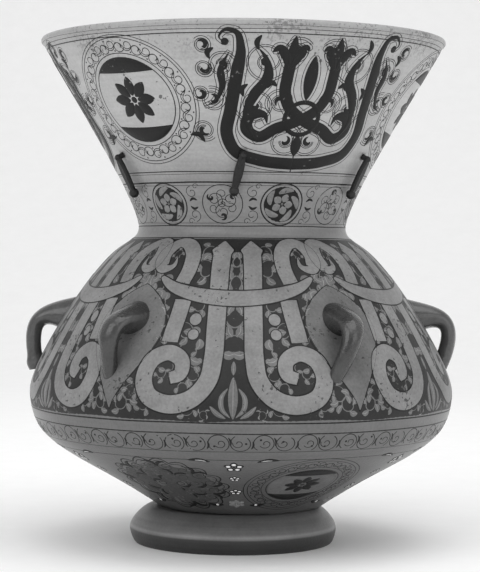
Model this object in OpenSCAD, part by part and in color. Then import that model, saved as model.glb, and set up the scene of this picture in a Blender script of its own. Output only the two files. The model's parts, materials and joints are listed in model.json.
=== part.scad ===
// Hanging glass mosque lamp: a blown vessel with a flaring neck, a full shoulder
// and a conical underside, on an applied foot ring.  Six drawn glass loops on the
// shoulder take the hanging chains.  Six forged pins pass through drilled holes in
// the neck and carry, on wires, a collar with a lift-out oil glass and its wick.
// Millimetres, +Z up.  The origin is the centre of the foot's standing plane.

/* [Vessel] */
// Overall height, foot to rim
lamp_h = 330; // [300:1:360]
// Outer diameter of the rim
rim_d = 266; // [242:1:288]
// Diameter of the rounded bead along the rim
lip_d = 5; // [4:0.1:7]
// Lean of the neck wall from upright, at the rim
rim_flare = 14; // [8:1:24]
// Outer diameter at the throat, the narrowest place
throat_d = 137; // [122:1:150]
// Height of the throat
throat_z = 207; // [198:1:215]
// Lean of the shoulder from upright, just below the throat
shoulder_lean = 56; // [50:1:60]
// Outer diameter of the belly, the widest place
belly_d = 278; // [260:1:295]
// Height of the belly
belly_z = 100; // [92:1:108]
// Lean of the underside from upright
underside_lean = 55; // [50:1:60]
// Outer diameter of the vessel's base
base_d = 108; // [98:1:116]
// Thickness of the blown wall
wall = 3.4; // [2.6:0.1:4.4]
// Thickness of the vessel's floor
floor_t = 5; // [4:0.5:8]
// Diameter of the pushed-up kick in the floor
kick_d = 74; // [60:1:84]
// Height of the kick
kick_h = 9; // [4:0.5:14]

/* [Vessel curves] */
// How far the underside stays straight, as a share of its height
underside_hold = 0.5; // [0.4:0.01:0.65]
// How far the belly stays upright below its widest place, as a share of the underside
belly_hold_down = 0.5; // [0.3:0.01:0.6]
// How far the belly stays upright above its widest place, as a share of the shoulder
belly_hold_up = 0.18; // [0.1:0.01:0.4]
// How far the shoulder keeps its lean, as a share of its height
shoulder_hold = 0.15; // [0.08:0.01:0.3]
// Width of the rounding between shoulder and throat
throat_run = 11; // [8:0.5:14]
// Height of that rounding
throat_drop = 12.5; // [9:0.5:16]
// How far the shoulder's lean runs into that rounding, as a share of its height
throat_turn_low = 0.38; // [0.2:0.01:0.5]
// How far the upright throat runs into it, as a share of its height
throat_turn_high = 0.46; // [0.3:0.01:0.6]
// How far the throat stays upright, as a share of the neck
throat_hold = 0.16; // [0.05:0.01:0.25]
// How far the rim keeps its lean, as a share of the neck
rim_hold = 0.06; // [0.02:0.01:0.2]

/* [Foot ring] */
// Height of the foot ring
foot_h = 24; // [20:0.5:28]
// Widest diameter of the foot ring
foot_d = 137; // [126:1:146]
// Height of the foot ring's widest place
foot_swell_z = 9.5; // [8:0.5:13]
// Width of the flat that the foot stands on
foot_land = 8; // [5:0.5:11]
// Fullness of the foot ring's rolled edge
foot_round = 0.35; // [0.2:0.05:0.75]
// How far the hand-set foot ring sits off the vessel's axis
foot_shift = -4.4; // [-5:0.1:5]
// Undercut from the widest place to the standing flat
foot_edge = 4; // [2:0.5:6]

/* [Handles] */
// How far the front left handle is set off its even place, in degrees
left_handle_off = -5; // [-6:1:6]
// How far the front right handle is set off its even place, in degrees
right_handle_off = 1; // [-6:1:6]
// How far the front left handle's tail slips sideways
left_handle_slip = -5; // [-8:1:8]
// How far the front right handle's tail slips sideways
right_handle_slip = -14; // [-16:1:8]
// Height of the upper joint above the belly
handle_top = 48; // [44:1:52]
// Height of the lower tail above the belly
handle_tail = 13; // [9:1:17]
// How far the upper arm is drawn out
handle_throw_top = 21; // [19:0.5:23]
// Rise of the upper arm on its way out
handle_arch = 4; // [2.5:0.5:5.5]
// Height over which the strap comes down to its tail
handle_fall = 28.5; // [25:0.5:32]
// How far the lower arm is drawn out
handle_throw_tail = 7.5; // [5.5:0.5:9.5]
// Thickness of the strap
strap_t = 10.6; // [8:0.2:11]
// Width of the strap
strap_w = 14.4; // [11:0.2:17]
// Height of the gather that joins the upper arm to the shoulder
root_t = 26; // [21:0.5:28]
// Width of that gather
root_w = 26; // [20:0.5:30]
// Width of the pinched tail
tail_w = 8.8; // [7:0.2:11]
// Number of the handle whose tail ends in a snapped-off bead
bead_handle = 4; // [1:1:6]
// How far that bead swells the tail
bead_swell = 1.4; // [0.6:0.2:2.4]
// How far that bead stands off the wall
bead_stand = 5; // [3:0.5:6]

/* [Neck pins] */
// Number of pins and of drilled holes
pin_count = 6; // [4, 6, 8]
// Height of the holes above the throat
pin_rise = 45; // [38:1:52]
// Direction of the first pin
pin_start = 30; // [20:1:40]
// Number of the pin that hangs aslant
slant_pin = 5; // [1:1:6]
// Slant of that pin
pin_slant = -12; // [-18:1:18]
// Diameter of the forged shank
shank_d = 3.6; // [3:0.1:4.4]
// Running clearance of the shank in its hole
pin_clear = 0.3; // [0.2:0.05:0.5]
// Length of the shank inside the neck
shank_reach = 9; // [8:0.5:12]
// Diameter of the hammered head on the shank
head_d = 7; // [6.4:0.2:8]
// Length of the hanging leg, to the middle of its ball
leg_l = 25; // [20:0.5:28]
// Width of the leg at its swell
leg_w = 5.8; // [4.8:0.1:7]
// Thickness of the flattened leg
leg_t = 3; // [2.4:0.1:3.4]
// Diameter of the ball at the leg's end
ball_d = 6.2; // [5:0.1:7]
// Gap between the ball and the neck
leg_gap = 0.5; // [0.3:0.1:1]

/* [Oil glass and its hanger] */
// Drop from the pins to the collar
collar_drop = 40; // [32:1:46]
// Diameter of the collar's round rod
collar_rod_d = 3.2; // [2.6:0.1:4]
// Diameter of a hanger wire
wire_d = 1.6; // [1.2:0.1:2]
// Clearance inside the wire's eyes
eye_clear = 0.3; // [0.2:0.05:0.5]
// Outer diameter of the oil glass, below its flange
oil_glass_d = 60; // [52:1:68]
// Height of the oil glass
oil_glass_h = 92; // [80:1:104]
// Wall of the oil glass
oil_wall = 2.2; // [1.6:0.1:3]
// Overhang of the oil glass's flange beyond the middle of the collar's rod
flange_over = 2; // [1.6:0.1:2.4]
// Diameter of the drop at the bottom of the oil glass
drop_d = 18; // [14:0.5:22]
// Clearance between the oil glass and the hanger
seat_clear = 0.4; // [0.3:0.1:0.8]

/* [Wick holder] */
// Diameter of the wick
wick_d = 4.6; // [3.6:0.1:5.6]
// Length of the wick
wick_l = 78; // [70:1:86]
// Height of the wick above its tube
wick_show = 7; // [4:0.5:10]
// Clearance between wick and tube
wick_clear = 0.2; // [0.1:0.05:0.4]
// Wall of the wick tube
tube_wall = 0.9; // [0.6:0.1:1.4]
// Length of the wick tube below the bridge
tube_l = 44; // [36:1:52]
// Width of the tube's flange beyond its wall
tube_flange = 2; // [1.2:0.2:3]
// Width of an arm
arm_w = 4; // [3:0.2:6]
// Thickness of the bridge
bridge_t = 1.4; // [1:0.1:2]
// Wall of the bridge's hub
hub_wall = 3; // [2:0.2:4]
// Depth of the arms' turned-down tips
tip_h = 4; // [3:0.2:6]

/* [Hidden] */
$fn = 96;
handle_angles = [0, 60, 120, 180, 240 + left_handle_off, 300 + right_handle_off];
handle_slips = [0, 0, 0, 0, left_handle_slip, right_handle_slip];
handle_names = [for (i = [1:len(handle_angles)]) str("handle_", i)];
pin_names = [for (i = [1:pin_count]) str("neck_pin_", i)];
wire_names = [for (i = [1:pin_count]) str("hanger_wire_", i)];

// Colours as the photograph shows them
pale_glass = [0.62, 0.61, 0.59];
grey_glass = [0.36, 0.37, 0.37];
dark_iron = [0.16, 0.16, 0.16];
dull_brass = [0.42, 0.40, 0.36];
clear_glass = [0.70, 0.71, 0.70];
cotton = [0.82, 0.80, 0.76];

// Cubic curve through p[0] and p[3], pulled towards p[1] and p[2], as n steps
function curve(p, n) = [for (i = [0:n - 1]) let (t = i / n) curve_at(p, t)];
function curve_at(p, t) = let (u = 1 - t)
    u * u * u * p[0] + 3 * u * u * t * p[1] + 3 * u * t * t * p[2] + t * t * t * p[3];

// Unit direction that leans by an angle from upright, as [outward, up]
function lean(angle) = [sin(angle), cos(angle)];
function unit(v) = v / norm(v);

// The vessel's outer side, as [radius, height] from the base to the rim.  Each stretch
// runs between two ends, and each end holds its lean for a while.
rim_r = rim_d / 2;
belly_r = belly_d / 2;
throat_r = throat_d / 2;
base_r = base_d / 2;
kick_r = kick_d / 2;
base_end = [base_r, foot_h];
belly_end = [belly_r, belly_z];
throat_end = [throat_r, throat_z];
rim_end = [rim_r - (lip_d - wall) / 2, lamp_h - lip_d / 2];
shoulder_end = throat_end + [throat_run, -throat_drop];
under_h = belly_z - foot_h;
shoulder_h = shoulder_end[1] - belly_z;
neck_h = rim_end[1] - throat_z;

underside = [base_end,
             base_end + underside_hold * under_h / cos(underside_lean) * lean(underside_lean),
             belly_end - [0, belly_hold_down * under_h],
             belly_end];
shoulder = [belly_end,
            belly_end + [0, belly_hold_up * shoulder_h],
            shoulder_end - shoulder_hold * shoulder_h / cos(shoulder_lean) * lean(-shoulder_lean),
            shoulder_end];
throat = [shoulder_end,
          shoulder_end + throat_turn_low * throat_drop / cos(shoulder_lean) * lean(-shoulder_lean),
          throat_end - [0, throat_turn_high * throat_drop],
          throat_end];
neck = [throat_end,
        throat_end + [0, throat_hold * neck_h],
        rim_end - rim_hold * neck_h / cos(rim_flare) * lean(rim_flare),
        rim_end];

underside_steps = 16;
shoulder_steps = 18;
throat_steps = 7;
neck_steps = 20;
outer_side = concat(curve(underside, underside_steps), curve(shoulder, shoulder_steps),
                    curve(throat, throat_steps), curve(neck, neck_steps), [rim_end]);
outer_table = [for (p = outer_side) [p[1], p[0]]];
function outer_r(z) = lookup(z, outer_table);

// The inner side, set in from the outer one by the wall
side_n = len(outer_side);
function side_normal(i) = let (
    a = outer_side[max(i - 1, 0)],
    b = outer_side[min(i + 1, side_n - 1)],
    along = unit(b - a))
    [along[1], -along[0]];
inner_side = [for (i = [0:side_n - 1]) outer_side[i] - wall * side_normal(i)];
inner_table = [for (p = inner_side) [p[1], p[0]]];
function inner_r(z) = lookup(z, inner_table);
floor_z = foot_h + floor_t;
corner = 0.5;

module vessel_section() {
    polygon(concat(
        [[0, foot_h + kick_h], [kick_r, foot_h]],
        outer_side,
        [for (i = [side_n - 1:-1:0]) if (inner_side[i][1] > floor_z + corner) inner_side[i]],
        [[inner_r(floor_z), floor_z], [kick_r, floor_z], [0, floor_z + kick_h]]));
    translate([rim_r - lip_d / 2, lamp_h - lip_d / 2]) circle(d = lip_d);
}

// The vessel filled solid, which trims what is melted on to its side
module vessel_mass() {
    rotate_extrude() polygon(concat([[0, foot_h]], outer_side, [[0, lamp_h - lip_d / 2]]));
}

// Stands its children on the neck at a pin's hole: x out of the wall, z up along it
pin_z = throat_z + pin_rise;
pin_lean = atan2(outer_r(pin_z) - outer_r(pin_z - leg_l), leg_l);
hole_d = shank_d + 2 * pin_clear;
function pin_angle(i) = pin_start + (i - 1) * 360 / pin_count;
module on_neck(i) {
    rotate([0, 0, pin_angle(i)]) translate([outer_r(pin_z), 0, pin_z]) rotate([0, pin_lean, 0])
        children();
}

module glass_vessel() {
    drill = 4 * wall;
    color(pale_glass) difference() {
        rotate_extrude() vessel_section();
        for (i = [1:pin_count])
            on_neck(i) translate([-drill, 0, 0]) rotate([0, 90, 0]) cylinder(d = hole_d, h = 2 * drill);
    }
}

foot_steps = 9;
module foot_ring() {
    foot_r = foot_d / 2;
    swell = [foot_r, foot_swell_z];
    land = [foot_r - foot_edge, 0];
    upper = [base_end,
             base_end + [foot_round * (foot_r - base_r), 0],
             swell + [0, foot_round * (foot_h - foot_swell_z)],
             swell];
    lower = [swell,
             swell - [0, foot_round * foot_swell_z],
             land + [foot_round * foot_edge, 0],
             land];
    color(grey_glass) translate([foot_shift, 0, 0]) rotate_extrude()
        polygon(concat(curve(upper, foot_steps), curve(lower, foot_steps),
                       [land, land - [foot_land, 0], [kick_r, foot_h]]));
}

// Centre line of a handle, as [radius, height], from inside the upper joint to inside the tail
handle_root_z = belly_z + handle_top;
handle_tail_z = belly_z + handle_tail;
handle_bed = 6;
function handle_line(stand) = [[outer_r(handle_root_z) - handle_bed, handle_root_z],
    [outer_r(handle_root_z) + handle_throw_top, handle_root_z + handle_arch],
    [outer_r(handle_tail_z) + handle_throw_tail - stand / 2, handle_tail_z + handle_fall],
    [outer_r(handle_tail_z) - handle_bed + stand, handle_tail_z]];
bead_at = 0.95;
bead_spread = 0.05;
function bead(t) = exp(-pow((t - bead_at) / bead_spread, 2));
root_thinning = 5;
root_narrowing = 3;
tail_pinch = 5;
function strap_half_t(t) = (strap_t + (root_t - strap_t) * pow(1 - t, root_thinning)) / 2;
function strap_half_w(t) = let (
    gather = (root_w - strap_w) * pow(1 - t, root_narrowing),
    pinch = (strap_w - tail_w) * pow(t, tail_pinch))
    (strap_w + gather - pinch) / 2;

handle_rings = 24;
handle_sides = 18;
function handle_outward(line, t) = let (
    step = 0.01,
    along = curve_at(line, min(t + step, 1)) - curve_at(line, max(t - step, 0)))
    unit([-along[1], along[0]]);
function handle_ring(line, t, swell, slip) = let (
    at = curve_at(line, t),
    half_t = strap_half_t(t) + swell * bead(t),
    half_w = strap_half_w(t) + swell * bead(t))
    [for (j = [0:handle_sides - 1]) let (
        a = 360 * j / handle_sides,
        p = at - half_t * cos(a) * handle_outward(line, t))
        [p[0], half_w * sin(a) + slip * t * t, p[1]]];

module handle_strap(line, swell, slip) {
    n = handle_sides;
    last = handle_rings * n;
    points = [for (i = [0:handle_rings]) each handle_ring(line, i / handle_rings, swell, slip)];
    sides = [for (i = [0:handle_rings - 1], j = [0:n - 1]) let (
                 a = i * n + j,
                 b = i * n + (j + 1) % n)
             each [[a, b, b + n], [a, b + n, a + n]]];
    caps = [for (j = [1:n - 2]) each [[0, j + 1, j], [last, last + j, last + j + 1]]];
    polyhedron(points, concat(sides, caps));
}

module handle(i) {
    beaded = i == bead_handle;
    color(grey_glass) rotate([0, 0, handle_angles[i - 1]]) difference() {
        handle_strap(handle_line(beaded ? bead_stand : 0), beaded ? bead_swell : 0, handle_slips[i - 1]);
        vessel_mass();
    }
}

// A pin: shank through the hole, hammered head inside, flattened leg with a ball outside
leg_x = ball_d / 2 + leg_gap;
leg_steps = 14;
knuckle_share = 1.2;
knuckle_d = knuckle_share * shank_d;
module neck_pin(i) {
    shank_in = wall + shank_reach;
    shank_r = shank_d / 2;
    pull_r = (2 * leg_w - shank_r) / 3;
    swell = [[shank_r, 0], [pull_r, leg_l / 3], [pull_r, leg_l / 2], [shank_r, leg_l]];
    head_r = head_d / 2;
    head = [[0, -head_r], [shank_r, -head_r], [head_r, -shank_r], [head_r, shank_r],
            [shank_r, head_r], [0, head_r]];
    color(dark_iron) on_neck(i) rotate([i == slant_pin ? pin_slant : 0, 0, 0]) {
        translate([-shank_in, 0, 0]) rotate([0, 90, 0]) cylinder(d = shank_d, h = shank_in + leg_x);
        translate([-shank_in, 0, 0]) rotate([0, 90, 0]) rotate_extrude() polygon(head);
        translate([leg_x, 0, 0]) sphere(d = knuckle_d);
        translate([leg_x, 0, 0]) intersection() {
            rotate([180, 0, 0])
                rotate_extrude() polygon(concat([[0, 0]], curve(swell, leg_steps), [swell[3], [0, leg_l]]));
            translate([-leg_t / 2, -leg_w, -2 * leg_l]) cube([leg_t, 2 * leg_w, 4 * leg_l]);
        }
        translate([leg_x, 0, -leg_l]) sphere(d = ball_d);
    }
}

// The collar, its eyes, and what rests on them, measured from the collar's rod
eye_r = collar_rod_d / 2 + eye_clear + wire_d / 2;
eye_reach = eye_r + wire_d / 2;
oil_r = oil_glass_d / 2;
collar_r = oil_r + seat_clear + eye_reach;
collar_z = pin_z - collar_drop;
seat_z = collar_z + eye_reach + seat_clear;

module collar() {
    color(dark_iron) translate([0, 0, collar_z])
        rotate_extrude() translate([collar_r, 0]) circle(d = collar_rod_d);
}

// A ring of wire about the y axis
module wire_eye(r) {
    rotate([90, 0, 0]) rotate_extrude() translate([r, 0]) circle(d = wire_d);
}

// A wire from the middle of a pin's shank to the collar, with an eye at each end
module hanger_wire(i) {
    wall_point = [outer_r(pin_z), pin_z];
    into_wall = -[cos(pin_lean), -sin(pin_lean)];
    head_room = shank_reach - head_d / 2;
    top = wall_point + (wall + head_room / 2) * into_wall;
    bottom = [collar_r, collar_z];
    pull = unit(bottom - top);
    crossing = abs(pull[0] * into_wall[1] - pull[1] * into_wall[0]);
    top_eye_r = shank_d / 2 / crossing + eye_clear + wire_d / 2;
    start = top + top_eye_r * pull;
    end = bottom - eye_r * pull;
    slope = atan2(-pull[1], pull[0]);
    color(dark_iron) rotate([0, 0, pin_angle(i)]) {
        translate([top[0], 0, top[1]]) rotate([0, slope, 0]) rotate([90, 0, 0]) wire_eye(top_eye_r);
        translate([start[0], 0, start[1]]) rotate([0, slope + 90, 0])
            cylinder(d = wire_d, h = norm(end - start));
        translate([bottom[0], 0, bottom[1]]) wire_eye(eye_r);
    }
}

// Oil glass: a flanged cone that ends in a solid drop
flange_r = collar_r + flange_over;
flange_top = seat_z + oil_wall;
oil_steps = 14;
drop_neck = 0.8;
drop_join = 0.7;
cone_hold = 0.45;
bowl_flare = [6, 12];
bowl_sink = 1;
bowl_floor = 3;
module oil_glass() {
    drop_r = drop_d / 2;
    tip_z = flange_top - oil_glass_h;
    drop_z = tip_z + drop_r;
    bowl_z = drop_z + drop_join * drop_r;
    bowl_r = drop_neck * drop_r;
    cone = [[oil_r, seat_z],
            [oil_r, seat_z - cone_hold * oil_glass_h],
            [bowl_r, bowl_z] + bowl_flare,
            [bowl_r, bowl_z]];
    outside = curve(cone, oil_steps);
    color(clear_glass) rotate_extrude() {
        polygon(concat(
            [[0, bowl_z - bowl_sink], [bowl_r, bowl_z - bowl_sink]],
            [for (i = [oil_steps - 1:-1:0]) outside[i]],
            [[flange_r - oil_wall / 2, seat_z], [flange_r - oil_wall / 2, flange_top],
             [oil_r - oil_wall, flange_top]],
            [for (p = outside) p - [oil_wall, 0]],
            [[0, bowl_z + bowl_floor]]));
        translate([flange_r - oil_wall / 2, seat_z + oil_wall / 2]) circle(d = oil_wall);
        intersection() {
            translate([0, drop_z]) circle(r = drop_r);
            translate([0, drop_z - 2 * drop_r]) square([2 * drop_r, 4 * drop_r]);
        }
    }
}

// Wick holder: a bridge on the flange, a tube through its hub and the wick in the tube
bridge_lift = 0.2;
bridge_z = flange_top + bridge_lift;
tube_bore_r = wick_d / 2 + wick_clear;
tube_r = tube_bore_r + tube_wall;
hub_clear = 0.1;
hub_bore_r = tube_r + hub_clear;
hub_r = hub_bore_r + hub_wall;

arm_count = pin_count / 2;
arm_start = pin_start + 180 / pin_count;

module wick_bridge() {
    tip_r = flange_r + seat_clear;
    color(dull_brass) translate([0, 0, bridge_z]) difference() {
        union() {
            cylinder(r = hub_r, h = bridge_t);
            for (k = [0:arm_count - 1]) rotate([0, 0, arm_start + k * 360 / arm_count]) {
                translate([hub_bore_r + hub_wall / 2, -arm_w / 2, 0])
                    cube([tip_r + bridge_t - hub_bore_r - hub_wall / 2, arm_w, bridge_t]);
                translate([tip_r, -arm_w / 2, -tip_h]) cube([bridge_t, arm_w, tip_h + bridge_t]);
            }
        }
        translate([0, 0, -bridge_t]) cylinder(r = hub_bore_r, h = 3 * bridge_t);
    }
}

tube_top = bridge_z + 2 * bridge_t;
module wick_tube() {
    color(dull_brass) difference() {
        union() {
            translate([0, 0, bridge_z - tube_l]) cylinder(r = tube_r, h = tube_l + bridge_t);
            translate([0, 0, bridge_z + bridge_t]) cylinder(r = tube_r + tube_flange, h = bridge_t);
        }
        translate([0, 0, bridge_z - 2 * tube_l]) cylinder(r = tube_bore_r, h = 4 * tube_l);
    }
}

module wick() {
    color(cotton) translate([0, 0, tube_top + wick_show - wick_l]) cylinder(d = wick_d, h = wick_l);
}

glass_vessel();
foot_ring();
for (i = [1:len(handle_angles)]) handle(i);
for (i = [1:pin_count]) neck_pin(i);
for (i = [1:pin_count]) hanger_wire(i);
collar();
oil_glass();
wick_bridge();
wick_tube();
wick();
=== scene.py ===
# %% [markdown]
# A mosque lamp is a glass vase that hangs on chains and holds an oil glass inside.
# The CAD part gives every solid and every joint. This script dresses it: the blown glass, the
# foot, the drawn loops and, above all, the enamel that covers the glass from rim to foot.
# We first load the frame. Nothing that we add may leave it.

# %% Load the frame
import json
import math

import bpy
import numpy as np
from mathutils import Matrix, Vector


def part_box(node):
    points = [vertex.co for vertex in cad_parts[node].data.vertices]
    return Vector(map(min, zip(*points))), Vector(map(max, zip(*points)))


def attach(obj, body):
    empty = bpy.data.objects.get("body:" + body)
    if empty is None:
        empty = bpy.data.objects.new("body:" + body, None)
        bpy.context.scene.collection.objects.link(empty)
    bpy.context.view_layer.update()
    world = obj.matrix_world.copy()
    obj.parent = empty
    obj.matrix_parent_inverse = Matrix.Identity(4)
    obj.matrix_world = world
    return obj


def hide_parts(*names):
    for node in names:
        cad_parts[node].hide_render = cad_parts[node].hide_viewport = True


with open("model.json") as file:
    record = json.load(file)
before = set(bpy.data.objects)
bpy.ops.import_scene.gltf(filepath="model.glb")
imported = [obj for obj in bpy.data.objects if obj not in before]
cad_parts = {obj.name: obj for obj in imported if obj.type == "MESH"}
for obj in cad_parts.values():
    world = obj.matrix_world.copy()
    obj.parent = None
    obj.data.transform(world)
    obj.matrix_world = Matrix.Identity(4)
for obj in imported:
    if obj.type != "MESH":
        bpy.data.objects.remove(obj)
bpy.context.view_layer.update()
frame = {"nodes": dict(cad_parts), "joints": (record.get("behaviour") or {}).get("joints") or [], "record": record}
nodes = frame["nodes"]
MM = 0.001

# %% [markdown]
# The camera stands where the photographer's stood. Its height, distance and lens come from
# fitting the rim, the belly and the foot of the lamp to the photograph: a long lens, a little
# above the belly, with a slight roll because the lamp in the print leans to the right.

# %% Camera
PHOTO_WIDE, PHOTO_TALL = 480, 572
FOCAL_PX = 1931.0
EYE_HEIGHT, EYE_DISTANCE = 0.1946, 1.2756
AXIS_PX, HORIZON_PX = 241.73, 246.2
ROLL = 0.0073

camera_data = bpy.data.cameras.new("camera")
camera_data.sensor_width = 36.0
camera_data.lens = FOCAL_PX * camera_data.sensor_width / PHOTO_TALL
camera_data.dof.use_dof = False
camera = bpy.data.objects.new("camera", camera_data)
bpy.context.scene.collection.objects.link(camera)
pitch = math.atan((PHOTO_TALL / 2 - HORIZON_PX) / FOCAL_PX)
across = -(AXIS_PX - PHOTO_WIDE / 2) / FOCAL_PX * EYE_DISTANCE
turn = Matrix.Rotation(math.pi / 2 - pitch, 4, "X") @ Matrix.Rotation(ROLL, 4, "Z")
camera.matrix_world = Matrix.Translation((across, -EYE_DISTANCE, EYE_HEIGHT)) @ turn
bpy.context.scene.camera = camera
bpy.context.scene.view_settings.view_transform = "Standard"
print("lens", round(camera_data.lens, 1), "mm, pitch", round(math.degrees(pitch), 2))

# %% [markdown]
# Every new piece is a grid of points that numpy works out at once. A grid has rows and columns,
# and its faces are the quads between neighbours. A column grid that closes on itself, such as
# a turned vessel, wraps its last column round to the first.

# %% Grids and pieces
def grid_faces(rows, columns, wrap):
    """Quads between neighbouring points of a grid, counted row by row. With wrap, the last
    column is joined to the first."""
    i, j = np.meshgrid(np.arange(rows - 1), np.arange(columns - (not wrap)), indexing="ij")
    k = (j + 1) % columns
    quad = [i * columns + j, i * columns + k, (i + 1) * columns + k, (i + 1) * columns + j]
    return np.stack(quad, -1).reshape(-1, 4)


def full_turn(count):
    """Even angles once round."""
    return np.linspace(0, 2 * math.pi, count, endpoint=False)


def polar(reach, angle, a=0.0, b=0.0):
    """Points at a distance and an angle about a point."""
    return np.stack([a + reach * np.cos(angle), b + reach * np.sin(angle)], -1)


def fan(middle, one, two):
    """Triangles from a middle point to pairs of neighbours on a ring."""
    return np.stack([np.full(len(one), middle), one, two], -1)


def make_piece(name, points, quads, triangles=(), paints=(), paint_of=None):
    """A smooth mesh object from arrays of points, quads and triangles, which rides on the lamp.
    paint_of gives each quad's paint by number."""
    quads = np.asarray(quads, np.int64).reshape(-1, 4)
    triangles = np.asarray(triangles, np.int64).reshape(-1, 3)
    corners = np.concatenate([quads.ravel(), triangles.ravel()]).astype(np.int32)
    quad_starts = 4 * np.arange(len(quads))
    starts = np.concatenate([quad_starts, 4 * len(quads) + 3 * np.arange(len(triangles))])
    mesh = bpy.data.meshes.new(name)
    mesh.vertices.add(len(points))
    mesh.vertices.foreach_set("co", np.asarray(points, np.float32).ravel())
    mesh.loops.add(len(corners))
    mesh.loops.foreach_set("vertex_index", corners)
    mesh.polygons.add(len(starts))
    mesh.polygons.foreach_set("loop_start", starts.astype(np.int32))
    mesh.polygons.foreach_set("use_smooth", np.ones(len(starts), bool))
    for paint in paints:
        mesh.materials.append(paint)
    if paint_of is not None:
        mesh.polygons.foreach_set("material_index", np.asarray(paint_of, np.int32))
    mesh.update(calc_edges=True)
    mesh.validate()
    piece = bpy.data.objects.new(name, mesh)
    bpy.context.scene.collection.objects.link(piece)
    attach(piece, "lamp")
    print(name, len(points), "points", len(starts), "faces")
    return piece


def smooth_line(points, count):
    """A smooth line through points, at even steps of its length: between two points it is a
    cubic whose direction at each point runs from the point before to the point after."""
    p = np.asarray(points, float)
    length = np.concatenate([[0], np.cumsum(np.linalg.norm(np.diff(p, axis=0), axis=1))])
    slope = np.gradient(p, length, axis=0)
    at = np.linspace(0, length[-1], count)
    i = np.clip(np.searchsorted(length, at, side="right") - 1, 0, len(p) - 2)
    step = (length[i + 1] - length[i])[:, None]
    t = ((at - length[i]) / step[:, 0])[:, None]
    near = (1 + 2 * t) * (1 - t) ** 2 * p[i] + t * (1 - t) ** 2 * step * slope[i]
    far = t * t * (3 - 2 * t) * p[i + 1] + t * t * (t - 1) * step * slope[i + 1]
    return near + far


# %% [markdown]
# The glassblower's shape is already in the CAD vessel. Its outer side is the set of corners of
# those faces that look outwards. We leave out the corners near the drilled holes, sort the
# rest from the base to the rim and pass a smooth line through them. From here on a place on
# the glass is a bearing round the axis, from the front to the viewer's right, and a way,
# the length along the wall up from the base. The enamel stands a little proud of the glass,
# so the glass itself lies a third of a millimetre inside the CAD surface.

# %% The wall as a map
ENAMEL_ROOM = 0.35 * MM
WALL = 3.4 * MM
SIDE_ROWS = 241
HOLE_CLEAR, KICK_CLEAR = math.radians(4), 45 * MM


def outward_corners(node):
    """Radius, height and bearing of the corners of those faces of a turned node that look away
    from its axis."""
    mesh = nodes[node].data
    co = np.empty(3 * len(mesh.vertices))
    mesh.vertices.foreach_get("co", co)
    co = co.reshape(-1, 3)
    mesh.calc_loop_triangles()
    tri = np.empty(3 * len(mesh.loop_triangles), np.int64)
    mesh.loop_triangles.foreach_get("vertices", tri)
    tri = tri.reshape(-1, 3)
    a, b, c = co[tri[:, 0]], co[tri[:, 1]], co[tri[:, 2]]
    normal = np.cross(b - a, c - a)
    middle = (a + b + c) / 3
    outward = normal[:, 0] * middle[:, 0] + normal[:, 1] * middle[:, 1]
    reach = np.linalg.norm(normal, axis=1) * np.hypot(middle[:, 0], middle[:, 1])
    p = co[np.unique(tri[outward > 0.05 * reach])]
    return np.hypot(p[:, 0], p[:, 1]), p[:, 2], np.arctan2(p[:, 0], -p[:, 1])


radius, height, bearing = outward_corners("glass_vessel")
sixth = math.pi / 3
off_hole = np.abs(bearing - sixth * np.round(bearing / sixth)) > HOLE_CLEAR
keep = off_hole & (radius > KICK_CLEAR)
levels, first = np.unique(np.round(height[keep], 5), return_index=True)
side = smooth_line(np.stack([radius[keep][first], levels], -1), SIDE_ROWS)
side_way = np.concatenate([[0], np.cumsum(np.linalg.norm(np.diff(side, axis=0), axis=1))])
along = np.gradient(side, side_way, axis=0)
along /= np.linalg.norm(along, axis=1)[:, None]
side_out = np.stack([along[:, 1], -along[:, 0]], -1)


def wall_radius(way):
    """Radius of the wall at a way."""
    return np.interp(way, side_way, side[:, 0])


def way_at(z):
    """The way, in millimetres, at a height in millimetres."""
    return np.interp(z * MM, side[:, 1], side_way) / MM


def on_glass(bearing, way, lift):
    """The point at a bearing and a way, lifted off the glass along the wall's own normal."""
    off = lift - ENAMEL_ROOM
    r = wall_radius(way) + off * np.interp(way, side_way, side_out[:, 0])
    z = np.interp(way, side_way, side[:, 1]) + off * np.interp(way, side_way, side_out[:, 1])
    z = np.broadcast_to(z, np.broadcast(r, bearing).shape)
    return np.stack([r * np.sin(bearing), -r * np.cos(bearing), z], -1)


print("wall", len(levels), "levels,", round(side_way[-1] / MM, 1), "mm from base to rim")

# %% [markdown]
# Paint comes next, because each piece takes its paint when it is made. The print is black and
# white, so every colour is a grey. Old glass and enamel are never even: a broad cloudiness and
# a fine grain change every tone a little, tiny chips show what lies below, and level streaks
# are left from turning the soft glass. These three effects are node groups, made once and
# shared by the paints.

# %% Shared effects
def grey(tone):
    """The colour that renders as a grey of 0 to 255."""
    c = tone / 255
    linear = c / 12.92 if c <= 0.04045 else ((c + 0.055) / 1.055) ** 2.4
    return (linear, linear, linear, 1.0)


def put(tree, kind, inputs=None, **settings):
    """A shader node with its settings, and its inputs set to values or linked to sockets."""
    made = tree.nodes.new("ShaderNode" + kind)
    for key, value in settings.items():
        setattr(made, key, value)
    for key, value in (inputs or {}).items():
        if isinstance(value, bpy.types.NodeSocket):
            tree.links.new(value, made.inputs[key])
        else:
            made.inputs[key].default_value = value
    return made


def maths(tree, operation, *values, clamp=False):
    """The result of one sum on values or sockets."""
    return put(tree, "Math", dict(enumerate(values)), operation=operation, use_clamp=clamp).outputs[0]


def blend(tree, share, one, two, way="MIX"):
    """A colour made of two, by a share of the second."""
    return put(tree, "Mix", {0: share, 6: one, 7: two}, data_type="RGBA", blend_type=way).outputs[2]


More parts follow.
